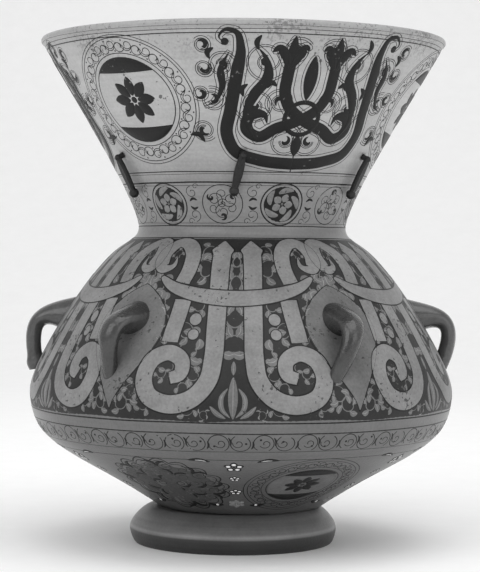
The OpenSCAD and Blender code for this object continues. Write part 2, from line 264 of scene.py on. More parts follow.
def new_group(name, takes, gives):
    """An empty node group with named inputs and outputs: its tree, input and output nodes."""
    tree = bpy.data.node_groups.new(name, "ShaderNodeTree")
    for direction, sockets in (("INPUT", takes), ("OUTPUT", gives)):
        for key, kind in sockets:
            tree.interface.new_socket(name=key, in_out=direction, socket_type="NodeSocket" + kind)
    return tree, tree.nodes.new("NodeGroupInput"), tree.nodes.new("NodeGroupOutput")


def noise_between(tree, place, scale, low, high, detail=3.0, rough=0.5):
    """Noise of a scale, spread so that most of it runs from low to high."""
    noise = put(tree, "TexNoise", {"Vector": place, "Scale": scale, "Detail": detail, "Roughness": rough})
    spread = {"From Min": 0.3, "From Max": 0.7, "To Min": low, "To Max": high}
    return put(tree, "MapRange", {"Value": noise.outputs["Fac"], **spread}).outputs["Result"]


mottle, given, result = new_group("mottle", [("Colour", "Color"), ("Broad", "Float"), ("Fine", "Float")],
                                  [("Colour", "Color"), ("Height", "Float")])
take = given.outputs
place = put(mottle, "TexCoord").outputs["Object"]
cloud = noise_between(mottle, place, 34.0, -1.0, 1.0, 5.0, 0.68)
grain = noise_between(mottle, place, 620.0, -1.0, 1.0, 2.0)
cloud_part = maths(mottle, "MULTIPLY", cloud, take["Broad"])
factor = maths(mottle, "ADD", maths(mottle, "MULTIPLY_ADD", grain, take["Fine"], cloud_part), 1.0)
mottle.links.new(blend(mottle, 1.0, take["Colour"], factor, "MULTIPLY"), result.inputs["Colour"])
mottle.links.new(grain, result.inputs["Height"])

chips, given, result = new_group("chips", [("Scale", "Float"), ("Cover", "Float")], [("Mask", "Float")])
take = given.outputs
place = put(chips, "TexCoord").outputs["Object"]
flakes = put(chips, "TexNoise", {"Vector": place, "Scale": take["Scale"], "Detail": 5.0}).outputs["Fac"]
level = maths(chips, "ADD", flakes, noise_between(chips, place, 38.0, -0.12, 0.12))
over = maths(chips, "SUBTRACT", level, maths(chips, "SUBTRACT", 0.78, take["Cover"]))
chips.links.new(maths(chips, "MULTIPLY", over, 30.0, clamp=True), result.inputs["Mask"])

streaks, given, result = new_group("streaks", [("Colour", "Color"), ("Depth", "Float")],
                                   [("Colour", "Color")])
take = given.outputs
place = put(streaks, "TexCoord").outputs["Object"]
drawn = put(streaks, "VectorMath", {0: place, 1: (9.0, 9.0, 420.0)}, operation="MULTIPLY").outputs[0]
factor = maths(streaks, "MULTIPLY_ADD", noise_between(streaks, drawn, 1.0, -1.0, 1.0), take["Depth"], 1.0)
streaks.links.new(blend(streaks, 1.0, take["Colour"], factor, "MULTIPLY"), result.inputs["Colour"])
print("effects", mottle.name, chips.name, streaks.name)

# %% [markdown]
# An enamel is ground glass fused on to the vessel. Its paint mixes its own tone with the tone
# that shows where it has flaked, then lets the mottle vary both. The vessel and the foot take
# their tone from their height instead, and that tone carries painted light and shade. Light gets
# through the open neck from behind, so the neck is painted pale, the closed belly darker and the
# underside, turned away from the light, darker still. The rim is rubbed. The foot has a painted
# highlight round the widest part of its roll, and painted shade on its lower edge, which faces
# down, darkest where it meets the floor.

# %% Recipes for paint
ENAMEL_ROUGH, CHIP_SCALE = 0.42, 420.0


def new_paint(name, rough):
    """An empty paint: its material, its node tree and its shader."""
    paint = bpy.data.materials.new(name)
    paint.use_nodes = True
    shader = paint.node_tree.nodes["Principled BSDF"]
    shader.inputs["Roughness"].default_value = rough
    return paint, paint.node_tree, shader


def finish_paint(tree, shader, colour, broad, fine, relief):
    """Sends a colour through the mottle to the shader, and the same grain to a shallow bump."""
    mottled = put(tree, "Group", {"Colour": colour, "Broad": broad, "Fine": fine}, node_tree=mottle)
    tree.links.new(mottled.outputs["Colour"], shader.inputs["Base Color"])
    bump = put(tree, "Bump", {"Strength": 0.35, "Distance": relief, "Height": mottled.outputs["Height"]})
    tree.links.new(bump.outputs["Normal"], shader.inputs["Normal"])


def enamel(name, tone, flaked, cover):
    """An enamel of one tone, flaked to another over a share of its face."""
    paint, tree, shader = new_paint(name, ENAMEL_ROUGH)
    shader.inputs["Specular IOR Level"].default_value = 0.25
    worn = put(tree, "Group", {"Scale": CHIP_SCALE, "Cover": cover}, node_tree=chips).outputs["Mask"]
    finish_paint(tree, shader, blend(tree, worn, grey(tone), grey(flaked)), 0.24, 0.12, 0.05 * MM)
    return paint


def solid(name, tone, rough, broad=0.12, fine=0.06, metal=0.0, relief=0.05 * MM, coat=0.0):
    """A paint of one mottled tone."""
    paint, tree, shader = new_paint(name, rough)
    shader.inputs["Metallic"].default_value = metal
    shader.inputs["Coat Weight"].default_value = coat
    finish_paint(tree, shader, grey(tone), broad, fine, relief)
    return paint


def by_height(tree, stops):
    """A colour that runs through stops of height and tone up the piece."""
    tall = put(tree, "SeparateXYZ", {0: put(tree, "TexCoord").outputs["Object"]}).outputs["Z"]
    ramp = put(tree, "ValToRGB", {0: maths(tree, "DIVIDE", tall, stops[-1][0])})
    for k, (z, tone) in enumerate(stops):
        stop = ramp.color_ramp.elements[k] if k < 2 else ramp.color_ramp.elements.new(1.0)
        stop.position = z / stops[-1][0]
        stop.color = grey(tone)
    return ramp.outputs["Color"]


print("recipes for paint are ready")

# %% [markdown]
# Now the paints are mixed. A tone is the grey that the paint has in even light. The inks are
# nearly black, the bands, drops and leaves are half tones, and the flowers' hearts are white.

# %% Mix the paints
WALL_TONES = [(0.024, 78), (0.050, 82), (0.066, 92), (0.088, 98), (0.125, 108), (0.190, 112),
              (0.206, 116), (0.235, 136), (0.250, 158), (0.285, 172), (0.318, 164), (0.330, 150)]
RIM_WEAR = [(0.0, 0), (0.298, 0), (0.312, 120), (0.320, 190), (0.330, 215)]
blown_glass, tree, shader = new_paint("blown_glass", 0.30)
stained = put(tree, "Group", {"Scale": 240.0, "Cover": 0.045}, node_tree=chips).outputs["Mask"]
spotted = blend(tree, stained, by_height(tree, WALL_TONES), grey(88))
rubbed = put(tree, "Group", {"Scale": 520.0, "Cover": 0.20}, node_tree=chips).outputs["Mask"]
at_rim = maths(tree, "MULTIPLY", rubbed, by_height(tree, RIM_WEAR))
worn = blend(tree, at_rim, spotted, grey(92))
lined = put(tree, "Group", {"Colour": worn, "Depth": 0.06}, node_tree=streaks).outputs["Colour"]
finish_paint(tree, shader, lined, 0.10, 0.07, 0.08 * MM)

# Painted light on the foot: a pale highlight band round the widest part of the roll, and painted shade on the
# lower edge that faces down, darkest at the floor.
FOOT_PAINTED_LIGHT_TONES = [(0.0, 42), (0.0092, 52), (0.0102, 112), (0.0114, 120), (0.0128, 98), (0.0240, 100)]
foot_glass, tree, shader = new_paint("foot_glass", 0.40)
toned = by_height(tree, FOOT_PAINTED_LIGHT_TONES)
lined = put(tree, "Group", {"Colour": toned, "Depth": 0.16}, node_tree=streaks).outputs["Colour"]
finish_paint(tree, shader, lined, 0.16, 0.05, 0.10 * MM)

ink = enamel("ink_enamel", 20, 96, 0.06)
line = enamel("line_enamel", 32, 110, 0.10)
edging = enamel("edging_enamel", 16, 70, 0.04)
pale = enamel("pale_enamel", 123, 66, 0.10)
drop = enamel("drop_enamel", 100, 60, 0.11)
ground = enamel("ground_enamel", 36, 78, 0.07)
shade = enamel("shade_enamel", 66, 92, 0.16)
leaf = enamel("leaf_enamel", 102, 52, 0.10)
# Painted highlight: a pale tone laid along the middle of each body leaf.
glint = enamel("glint_enamel", 142, 94, 0.08)
bright = enamel("bright_enamel", 222, 150, 0.06)
grey_glass = solid("grey_glass", 66, 0.22, 0.5, 0.10, relief=0.16 * MM, coat=0.35)
# Painted shade: the same glass as grey_glass, made darker for the two front handles that stand against the dark
# body.
shaded_handle_glass = solid("shaded_handle_glass", 46, 0.22, 0.6, 0.12, relief=0.2 * MM, coat=0.4)
dark_iron = solid("dark_iron", 44, 0.5, 0.2, 0.14, metal=0.6, relief=0.2 * MM)
dull_brass = solid("dull_brass", 112, 0.45, 0.16, 0.08, metal=0.8)
cotton = solid("cotton", 196, 0.95, 0.12, 0.16, relief=0.4 * MM)
clear_glass = solid("clear_glass", 205, 0.06, 0.04, 0.02)
clear_glass.node_tree.nodes["Principled BSDF"].inputs["Transmission Weight"].default_value = 0.85
print("paints", len(bpy.data.materials))

# %% [markdown]
# The vessel is blown as a bubble, shaped on the pontil and opened into a neck, so it is one
# surface of revolution: up the outer side, over the fire-rounded rim and down the inner side
# to the floor with its pushed-up kick. Six holes are drilled through the neck afterwards. For
# each one we leave a window in both grids, run a patch from the window's edge to a circle,
# and join the outer circle to the inner one through the wall.

# %% Vessel
COLUMNS = 192
HOLES, HOLE_RADIUS, PATCH_SHARE = 6, 2.1 * MM, 0.45
WINDOW_ROWS, WINDOW_COLUMNS = 4, 2
FLOOR_THICKNESS = 5 * MM
KICK_RADIUS, KICK_RISE = 37 * MM, 9 * MM
BEAD_RADIUS = 2.5 * MM

base_z = side[0, 1]
floor_z = base_z + FLOOR_THICKNESS
inside = side - WALL * side_out
last = np.searchsorted(side[:, 1], side[-1, 1] - 2 * BEAD_RADIUS)
lowest = np.searchsorted(inside[:, 1], floor_z + 0.8 * MM)
kick = np.array([[0.25, 0.75], [0.5, 0.5], [0.75, 0.25], [1.0, 0.0]]) * [KICK_RADIUS, KICK_RISE]
bead_turn = np.radians(np.linspace(105, 235, 12))
rim_r = side[side[:, 1] > side[-1, 1] - 3 * BEAD_RADIUS, 0].max()
bead_middle = [rim_r - BEAD_RADIUS, side[-1, 1] - BEAD_RADIUS]
bead = polar(BEAD_RADIUS - ENAMEL_ROOM, bead_turn, *bead_middle)
outer = side - ENAMEL_ROOM * side_out
outline = np.concatenate([kick + [0, base_z], outer, bead, inside[last:lowest - 1:-1],
                          [[inside[lowest, 0] - 1.5 * MM, floor_z]], (kick + [0, floor_z])[::-1]])


def turned(profile, columns, middle=0.0):
    """Points of a profile of radius and height turned about an upright axis, row by row."""
    around = full_turn(columns)
    x = middle + profile[:, :1] * np.sin(around)
    y = -profile[:, :1] * np.cos(around)
    z = np.repeat(profile[:, 1:], columns, axis=1)
    return np.stack([x, y, z], -1)


def window_loop(row, column, rows, columns):
    """Grid places round a window, from its lower left corner along the bottom, up and back."""
    r, c = np.arange(-rows, rows), np.arange(-columns, columns)
    full_r, full_c = np.full(2 * columns, rows), np.full(2 * rows, columns)
    loop_r = np.concatenate([-full_r, r, full_r, -r])
    loop_c = np.concatenate([c, full_c, -c, -full_c])
    return row + loop_r, (column + loop_c) % COLUMNS


points = [turned(outline, COLUMNS).reshape(-1, 3)]
quads = grid_faces(len(outline), COLUMNS, True)
quad_row, quad_column = np.divmod(np.arange(len(quads)), COLUMNS)
hole_z = frame["joints"][0]["pos_m"][2]
hole_way = np.interp(hole_z, side[:, 1], side_way)
side_row = int(np.argmin(np.abs(side_way - hole_way)))
outer_row, inner_row = len(kick) + side_row, len(kick) + len(outer) + len(bead) + last - side_row
total, kept, patches = len(points[0]), np.ones(len(quads), bool), []
for k in range(HOLES):
    column = k * COLUMNS // HOLES
    near = np.abs((quad_column - column + 0.5 + COLUMNS / 2) % COLUMNS - COLUMNS / 2) < WINDOW_COLUMNS
    for row in (outer_row, inner_row):
        kept &= ~(near & (np.abs(quad_row - row + 0.5) < WINDOW_ROWS))
    rows, columns = window_loop(outer_row, column, WINDOW_ROWS, WINDOW_COLUMNS)
    step_b = (columns - column + COLUMNS // 2) % COLUMNS - COLUMNS // 2
    a = step_b * 2 * math.pi / COLUMNS * wall_radius(hole_way)
    b = side_way[rows - len(kick)] - hole_way
    size = np.hypot(a, b)
    inner_loop = (2 * inner_row - (rows - outer_row + inner_row)) * COLUMNS + columns
    loops = [rows * COLUMNS + columns]
    for depth in (0.0, WALL - ENAMEL_ROOM):
        for reach in (PATCH_SHARE, 0.0) if depth == 0 else (0.0, PATCH_SHARE):
            scale = (HOLE_RADIUS + reach * (size - HOLE_RADIUS)) / size
            points.append(on_glass(column * 2 * math.pi / COLUMNS + a * scale / wall_radius(hole_way),
                                   hole_way + b * scale, -depth))
            loops.append(total + np.arange(len(a)))
            total += len(a)
    loops.append(inner_loop)
    for one, two in zip(loops[:-1], loops[1:]):
        patches.append(np.stack([one, np.roll(one, -1), np.roll(two, -1), two], -1))
points.append([[0, 0, base_z + KICK_RISE], [0, 0, floor_z + KICK_RISE]])
first_row = np.arange(COLUMNS)
last_row = (len(outline) - 1) * COLUMNS + first_row
poles = [fan(total, np.roll(first_row, -1), first_row), fan(total + 1, last_row, np.roll(last_row, -1))]
vessel = make_piece("vessel_glass", np.concatenate(points), np.concatenate([quads[kept], *patches]),
                    np.concatenate(poles), [blown_glass])
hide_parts("glass_vessel")

# %% [markdown]
# The foot is a thick thread of glass wound on under the vessel and pressed into a ring. It was
# set by hand, a little off the axis, and its edge wavers. Its profile is two cubics: one from
# the base out to the widest place, one from there in to the flat that it stands on. We close
# it under the foot and let the radius waver a little.

# %% Foot
FOOT_COLUMNS, FOOT_STEPS = 192, 24
FOOT_SWELL, FOOT_EDGE = np.array([68.5, 9.5]) * MM, 4 * MM
FOOT_ROUND, FOOT_LAND, FOOT_WAVER = 0.35, 8 * MM, 0.25 * MM


def cubic(pulls, t):
    """The cubic from the first to the last of four points, which leaves for the second and
    arrives from the third."""
    t = np.reshape(t, (-1, 1))
    p = np.asarray(pulls)
    s = 1 - t
    return s ** 3 * p[0] + 3 * t * s ** 2 * p[1] + 3 * t * t * s * p[2] + t ** 3 * p[3]


foot_low, foot_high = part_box("foot_ring")
foot_middle = (foot_low.x + foot_high.x) / 2
base_end, land = side[0], np.array([FOOT_SWELL[0] - FOOT_EDGE, 0.0])
ahead, below = [FOOT_ROUND * (FOOT_SWELL[0] - base_end[0]), 0], [0, FOOT_ROUND * FOOT_SWELL[1]]
above = [0, FOOT_ROUND * (base_end[1] - FOOT_SWELL[1])]
t = np.arange(FOOT_STEPS + 1) / FOOT_STEPS
roll = cubic([base_end, base_end + ahead, FOOT_SWELL + above, FOOT_SWELL], t[:-1])
tuck = cubic([FOOT_SWELL, FOOT_SWELL - below, land + [FOOT_ROUND * FOOT_EDGE, 0], land], t)
under = np.linspace(land - [FOOT_LAND, 0], [KICK_RADIUS, base_end[1]], 8)
foot_profile = np.concatenate([roll, tuck, under])[::-1]
foot_points = turned(foot_profile, FOOT_COLUMNS, foot_middle)
around = full_turn(FOOT_COLUMNS)
waver = FOOT_WAVER * (np.sin(3 * around + 0.6) + 0.6 * np.sin(7 * around) - 1.6)
height_share = np.sin(math.pi * foot_profile[:, 1] / foot_high.z)
swell = height_share[:, None] * waver
foot_points[..., 0] += swell * np.sin(around)
foot_points[..., 1] -= swell * np.cos(around)
ring, top = np.arange(FOOT_COLUMNS), (len(foot_profile) - 1) * FOOT_COLUMNS
closing = np.stack([top + ring, top + np.roll(ring, -1), np.roll(ring, -1), ring], -1)
loop = np.concatenate([grid_faces(len(foot_profile), FOOT_COLUMNS, True), closing])
foot = make_piece("foot_glass", foot_points.reshape(-1, 3), loop, paints=[foot_glass])
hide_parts("foot_ring")

# %% [markdown]
# Each handle starts as a hot gather stuck on the shoulder, is drawn out and down and pinched
# off on the belly. So it is a strap carried along a bent line: thick and wide at the upper
# root, then thinner, with a narrow tail and shallow ripples. The viewer's left one keeps the
# bead where the glass was snapped off. The two in front are the same glass as the others, with
# painted shade that darkens them where they stand against the dark body, and their tails
# slipped to the left. Points that would come through the wall are held inside its thickness.

# %% Handles
HANDLE_ROWS, HANDLE_COLUMNS = 96, 40
HANDLE_BEARINGS = np.radians([90, 150, -150, -90, -35, 31])
BEAD_HANDLE, FRONT_HANDLES = 4, (5, 6)
BEAD_STAND = 5 * MM
SLIPS = np.array([0, 0, 0, 0, -5, -14]) * MM
ROOT_Z, TAIL_Z = 148 * MM, 113 * MM
SINK, HELD_DEPTH = 6 * MM, 2.4 * MM
ROOT_PULL, TAIL_PULL = np.array([21, 4]) * MM, np.array([7.5, 28.5]) * MM
THICK, ROOT_THICK = 10.4, 15.4
WIDE, ROOT_WIDE, TAIL_THIN = 14.2, 11.6, 5.6
KNOB, LUMP = 1.4 * MM, 0.18 * MM


def radius_at(z):
    """Radius of the wall at a height."""
    return np.interp(z, side[:, 1], side[:, 0])


root_r, tail_r = radius_at(ROOT_Z), radius_at(TAIL_Z)
t = np.linspace(0, 1, HANDLE_ROWS)[:, None]
half_t = (THICK + ROOT_THICK * (1 - t) ** 5) / 2 * MM
half_w = (WIDE + ROOT_WIDE * (1 - t) ** 3 - TAIL_THIN * t ** 5) / 2 * MM
circle = full_turn(HANDLE_COLUMNS)
ring = np.arange(HANDLE_COLUMNS)
for k, at in enumerate(HANDLE_BEARINGS, 1):
    beaded = k == BEAD_HANDLE
    stand = BEAD_STAND * beaded
    spine = cubic([[root_r - SINK, ROOT_Z], [root_r + ROOT_PULL[0], ROOT_Z + ROOT_PULL[1]],
                   [tail_r + TAIL_PULL[0] - stand / 2, TAIL_Z + TAIL_PULL[1]],
                   [tail_r - SINK + stand, TAIL_Z]], t)
    heading = np.gradient(spine, axis=0)
    heading /= np.linalg.norm(heading, axis=1)[:, None]
    outward = np.stack([-heading[:, 1], heading[:, 0]], -1)
    knob = KNOB * np.exp(-((t - 0.95) / 0.05) ** 2) * beaded
    ripple = np.sin(11 * t + 1.7 * k) * np.cos(2 * circle + k)
    lumps = -LUMP * (1.7 + (ripple + 0.7 * np.cos(3 * circle + 8 * t + 2 * k)))
    thick, wide = half_t + knob + lumps, half_w + knob + lumps
    flat = spine[:, None, :] + (thick * np.cos(circle))[..., None] * outward[:, None, :]
    r, z, aside = flat[..., 0], flat[..., 1], wide * np.sin(circle) + SLIPS[k - 1] * t * t
    held = np.maximum(np.hypot(r, aside), radius_at(z) - HELD_DEPTH)
    swing = at + np.arctan2(aside, r)
    p = np.stack([held * np.sin(swing), -held * np.cos(swing), z], -1).reshape(-1, 3)
    ends = np.stack([p[:HANDLE_COLUMNS].mean(0), p[-HANDLE_COLUMNS:].mean(0)])
    first, last_ring = len(p), len(p) - HANDLE_COLUMNS + ring
    caps = [fan(first, np.roll(ring, -1), ring), fan(first + 1, last_ring, np.roll(last_ring, -1))]
    # The two front handles take the paint with painted shade.
    strap = make_piece(f"handle_glass_{k}", np.concatenate([p, ends]),
                       grid_faces(HANDLE_ROWS, HANDLE_COLUMNS, True), np.concatenate(caps),
                       [shaded_handle_glass if k in FRONT_HANDLES else grey_glass])
    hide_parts(f"handle_{k}")

# %% [markdown]
# The metalwork and the oil glass are exact in the CAD part already, so they keep its meshes.
# Pins, wires and collar are forged iron, the wick holder is brass, and the wick is cotton.

# %% Dress the CAD pieces that stay
FINISHES = {"dark_iron": dark_iron, "dull_brass": dull_brass, "cotton": cotton,
            "clear_glass": clear_glass}
for part in frame["record"]["subparts"]:
    paint = FINISHES.get(part["material_slot"])
    if paint is not None:
        piece = nodes[part["node"]]
        piece.data.materials.clear()
        piece.data.materials.append(paint)
print("dressed the pieces of", ", ".join(FINISHES))

# %% [markdown]
# The painter draws with a pen and fills with a brush. Every mark is a ribbon: a line on the
# glass with a width to either side, a low round back and edges that dip under the layer
# below, so that nothing floats. A drawing is planned flat, in millimetres across and up, and
# then laid on the wall, either as a cone is unrolled, which keeps circles round, or as a fan,
# which keeps a whole field between two bearings however the wall narrows.

# %% Drawings and spots
EDGE_DIP, FLAT_SHARE, WIDE_RIBBON = -0.15, 0.86, 1.2
TINY = 1e-12


def steps_on_glass(bearing, way, closed=False):
    """The wall's radius along a line, the line's steps on the glass, east and up, and their
    length."""
    r = wall_radius(way)
    if closed:
        east, up = (np.roll(v, -1) - np.roll(v, 1) for v in (bearing, way))
        east = r * ((east + math.pi) % (2 * math.pi) - math.pi)
    else:
        east, up = r * np.gradient(bearing), np.gradient(way)
    return r, east, up, np.hypot(east, up) + TINY


class Drawing:
    """Collects ribbons, discs and fields on the glass, and makes them one piece."""

    def __init__(self):
        self.points, self.faces, self.paint_of, self.paints, self.count = [], [], [], [], 0

    def add(self, grid, paint, wrap=False):
        rows, columns = grid.shape[:2]
        faces = grid_faces(rows, columns, wrap) + self.count
        if paint not in self.paints:
            self.paints.append(paint)
        self.points.append(grid.reshape(-1, 3))
        self.faces.append(faces)
        self.paint_of.append(np.full(len(faces), self.paints.index(paint)))
        self.count += rows * columns

    def ribbon(self, bearing, way, half, lift, paint, closed=False):
        """A line widened by half to each side, measured on the glass, with a round back."""
        r, east, up, size = steps_on_glass(bearing, way, closed)
        widest = np.max(half) / MM
        middle = [0.0]
        if widest > WIDE_RIBBON:
            middle = np.linspace(-FLAT_SHARE, FLAT_SHARE, 3 + 2 * int(widest / 4))
        place = np.array([-1, *middle, 1])[:, None]
        back = np.array([EDGE_DIP, *np.zeros(len(middle)), EDGE_DIP])[:, None]
        if not closed:
            back = np.where((np.arange(len(way)) % (len(way) - 1)) == 0, EDGE_DIP, back)
        off = place * half
        self.add(on_glass(bearing - off * up / size / r, way + off * east / size, lift + back * MM),
                 paint, closed)

    def pen(self, bearing, way, mirror=False):
        """A pen at a spot where circles stay round."""
        return Pen(self, cone_spot(bearing, way * MM), mirror)

    def make(self, name):
        piece = make_piece(name, np.concatenate(self.points), np.concatenate(self.faces),
                           paints=self.paints, paint_of=np.concatenate(self.paint_of))


def cone_spot(bearing, way):
    """A place to lay a flat drawing so that circles stay round: the wall there is taken as a
    cone and unrolled, and a point's distance from the cone's tip gives its way."""
    slope = (wall_radius(way + MM) - wall_radius(way - MM)) / (2 * MM)
    slope = math.copysign(max(abs(slope), 0.02), slope)
    tip = wall_radius(way) / slope

    def lay(a, b):
        reach = np.hypot(a, tip + b)
        swing = np.arctan2(a * np.sign(tip), np.abs(tip + b))
        return bearing + swing / abs(slope), way + np.sign(tip) * reach - tip
    return lay


def fan_spot(bearing, half_angle, half_width, way):
    """A place to lay a field that reaches half_width to each side, whatever the wall's girth."""
    return lambda a, b: (bearing + a / half_width * half_angle, way + b)


print("drawings are laid on", round(side_way[-1] / MM), "mm of wall")

# %% [markdown]
# A pen draws at one spot and, where a design is the same on both sides, repeats each mark in a
# mirror. It has few strokes: a line of any width, a hair line beside it, a ring, a leaf, a disc
# and the part of a disc beyond a chord. Each is told its half width or its size and its lift off
# the glass, in millimetres, and a mark that covers another lies higher. Curls and the widths of
# leaves and bands are small formulas of their own, so that a whole design is only a list of
# numbers.

# %% The pen
BAND_EDGE, HAND_WAVER = 0.55, 0.12


class Pen:
    """Draws flat marks, in millimetres from a spot, into a drawing."""

    def __init__(self, drawing, lay, mirror=False):
        self.drawing, self.lay, self.sides = drawing, lay, (1, -1) if mirror else (1,)

    def mark(self, line, half, lift, paint, closed=False):
        line = np.asarray(line) * MM
        for s in self.sides:
            bearing, way = self.lay(s * line[:, 0], line[:, 1])
            width = np.broadcast_to(half, way.shape) * MM
            self.drawing.ribbon(bearing, way, width, lift * MM, paint, closed)

    def beside(self, line, off, half, lift, paint):
        """A thin line round a band: off to its left on the way out, to its right on the way back.
        The offset is measured on the glass, as a band's width is."""
        line = np.asarray(line, float) * MM
        for s in self.sides:
            bearing, way = self.lay(s * line[:, 0], line[:, 1])
            r, east, up, size = steps_on_glass(bearing, way)
            size = size / (np.broadcast_to(off, way.shape) * MM)
            round_b = np.concatenate([bearing - up / size / r, (bearing + up / size / r)[::-1]])
            round_w = np.concatenate([way + east / size, (way - east / size)[::-1]])
            width = np.full(len(round_w), half * MM)
            self.drawing.ribbon(round_b, round_w, width, lift * MM, paint, True)

    def band(self, line, half, lift, paint, edge_paint):
        """A band with a line drawn round it."""
        self.mark(line, half, lift, paint)
        self.beside(line, half, BAND_EDGE, lift + 0.04, edge_paint)

    def ring(self, a, b, size, half, lift, paint, count=96):
        """A circle in line."""
        self.mark(polar(size, full_turn(count), a, b), half, lift, paint, closed=True)

    def leaf(self, points, count, half, lift, paint):
        """A pointed leaf along a smooth line through points."""
        self.mark(smooth_line(points, count), leaf_width(count, half), lift, paint)

    def disc(self, a, b, size, lift, paint):
        """A low round dot."""
        around = -full_turn(28)
        reach = np.array([0.02, 0.5, 0.85, 1.0])[:, None] * size
        fall = np.array([0.02, 0.01, -0.01, EDGE_DIP])[:, None]
        for s in self.sides:
            x, y = s * (a + reach * np.cos(around)), b + reach * np.sin(around)
            bearing, way = self.lay(x * MM, y * MM)
            grid = on_glass(bearing, way, (lift + fall + 0 * around) * MM)
            self.drawing.add(grid[:, ::s], paint, True)

    def segment(self, a, b, size, chord, lift, paint):
        """The part of a disc beyond a chord, above it for a positive chord and below it for a
        negative one."""
        half = math.acos(abs(chord))
        t = np.linspace(-1, 1, 40)
        v = np.array([0, 0.03, 0.5, 0.97, 1.0])[:, None]
        arc = np.stack([np.sin(half * t), np.cos(half * t)])
        line = np.stack([math.sin(half) * t, np.full(40, abs(chord))])
        x, y = (line[:, None] * (1 - v) + arc[:, None] * v) * size
        fall = np.array([EDGE_DIP, 0, 0.01, 0, EDGE_DIP])[:, None]
        up = math.copysign(1, chord)
        bearing, way = self.lay((a + up * x) * MM, (b + up * y) * MM)
        self.drawing.add(on_glass(bearing, way, (lift + fall + 0 * t) * MM), paint)


def curl(a, b, start, end, begin, stop, count=64):
    """A spiral about a point: its radius goes from start to end while its angle, in degrees,
    goes from begin to stop."""
    share = np.linspace(0, 1, count)
    return polar(start + (end - start) * share, np.radians(begin + (stop - begin) * share), a, b)


def leaf_width(count, half, blunt=0.7):
    """Widths of a leaf: nothing at its ends and half at its fullest."""
    return half * np.sin(math.pi * np.linspace(0, 1, count)) ** blunt + 0.05


def band_width(count, half, first=0.0, final=0.0):
    """Widths of a band that comes to a point over a share of its length at either end."""
    t = np.linspace(0, 1, count)
    rise = np.minimum(1, t / first) if first else 1.0
    fall = np.minimum(1, (1 - t) / final) if final else 1.0
    return half * np.minimum(rise, fall) + 0.05


def belts(drawing, lift, *lines):
    """Lines right round the lamp, each given by its way, half width and paint. They waver as a
    hand does."""
    around = full_turn(360)
    for way, half, paint in lines:
        waver = HAND_WAVER * (np.sin(5 * around + way) + 0.6 * np.sin(13 * around + 2 * way))
        drawing.ribbon(around, (way + waver) * MM, np.full(360, half * MM), lift * MM, paint, True)


print("the pen is ready")

# %% [markdown]
# The neck is the show front. Thin lines bound its field, three roundels divide it, and a bold
# dark strapwork fills each panel between them over a fine vine scroll. The painter first draws
# the scroll with a thin pen, then lays the straps over it and follows both their edges with a
# hair line. First come the roundels: a disc with dark upper and lower parts and a rosette,
# inside a ring of curls.

# %% Neck roundels
NECK_LOW, NECK_MIDDLE, NECK_HIGH = way_at(240.5), way_at(285.0), way_at(321.1)
ROUNDEL_BEARINGS = np.radians([-39.0, 81.0, 201.0])
PANEL_BEARINGS = ROUNDEL_BEARINGS + math.pi / 3


def rosette(pen, a, b, size, petals, lift, paint, turn=90.0):
    """Petals round a middle dot."""
    for k in range(petals):
        angle = math.radians(turn + 360 * k / petals)
        spine = polar(np.linspace(0.16, 1.0, 14) * size, angle, a, b)
        pen.mark(spine, leaf_width(14, min(0.36, 1.9 / petals) * size, 0.8), lift, paint)
    pen.disc(a, b, 0.14 * size, lift, paint)


def leaf_ring(pen, near, far, count, lift, paint):
    """A ring of small curls between two radii, alternately turned out and in, on a wavy stem."""
    middle, room = (near + far) / 2, (far - near) / 2
    around = full_turn(240)
    stem = middle + 0.35 * room * np.sin(count / 2 * around)
    pen.mark(polar(stem, around), 0.3, lift, paint, closed=True)
    for k in range(count):
        angle = 2 * math.pi * (k + 0.5) / count
        side_of = 1 if k % 2 else -1
        centre = polar(middle + side_of * 0.12 * room, angle)
        begin = math.degrees(angle) + 90 * side_of
        spiral = curl(*centre, 0.82 * room, 0.3 * room, begin, begin + 400 * side_of, 40)
        pen.mark(spiral, 0.32, lift, paint)
        pen.disc(*polar(middle + side_of * 0.7 * room, angle + 0.1), 0.55, lift, paint)


def roundel(pen, size, lift):
    """A disc with dark upper and lower parts and a rosette, inside a ring of curls."""
    for ring, half in ((1.0, 0.42), (1.10, 0.36), (1.46, 0.36), (1.53, 0.3)):
        pen.ring(0, 0, ring * size, half, lift, line)
    pen.segment(0, 0, 0.99 * size, 0.64, lift, ink)
    pen.segment(0, 0, 0.99 * size, -0.66, lift, ink)
    rosette(pen, 0, 0, 0.56 * size, 8, lift, ink)
    leaf_ring(pen, 1.10 * size, 1.46 * size, 36, lift, line)


neck = Drawing()
belts(neck, 0.1, (NECK_HIGH, 0.5, line), (NECK_HIGH + 2.6, 0.25, line), (NECK_HIGH + 5.4, 0.2, line),
      (NECK_LOW, 0.5, line), (NECK_LOW - 1.6, 0.2, line))
for at in ROUNDEL_BEARINGS:
    roundel(neck.pen(at, NECK_MIDDLE - 1), 29.0, 0.12)
print("roundels", len(ROUNDEL_BEARINGS))

# %% [markdown]
# Each panel is symmetrical. A lyre of two outer straps, rolled over at the top, stands round
# two crossed stems that a ring holds together. The stems end in lilies, and split leaves and
# half leaves fill the sides. We list the spines once and let the pen mirror them.

# %% Neck panels
outer_strap = smooth_line([(57, 28.5), (61, 31.5), (58.5, 37), (51.5, 37), (47, 28), (46, 12), (45, -14),
                           (44, -31), (37, -41), (22, -44.5), (0, -45.5)], 120)
inner_stem = smooth_line([(15, 22), (15, 12), (14.5, 3), (9, -8), (-3, -16.5), (-15, -22), (-25, -29),
                          (-33, -25), (-32, -15), (-24, -14), (-21, -20)], 130)
split_leaf = smooth_line([(25, -33), (35, -18), (33, -2), (27, 12), (31, 24), (37, 30)], 60)
half_leaf = smooth_line([(53, 24), (56, 12), (53, -1), (56, -12), (61, -16)], 50)
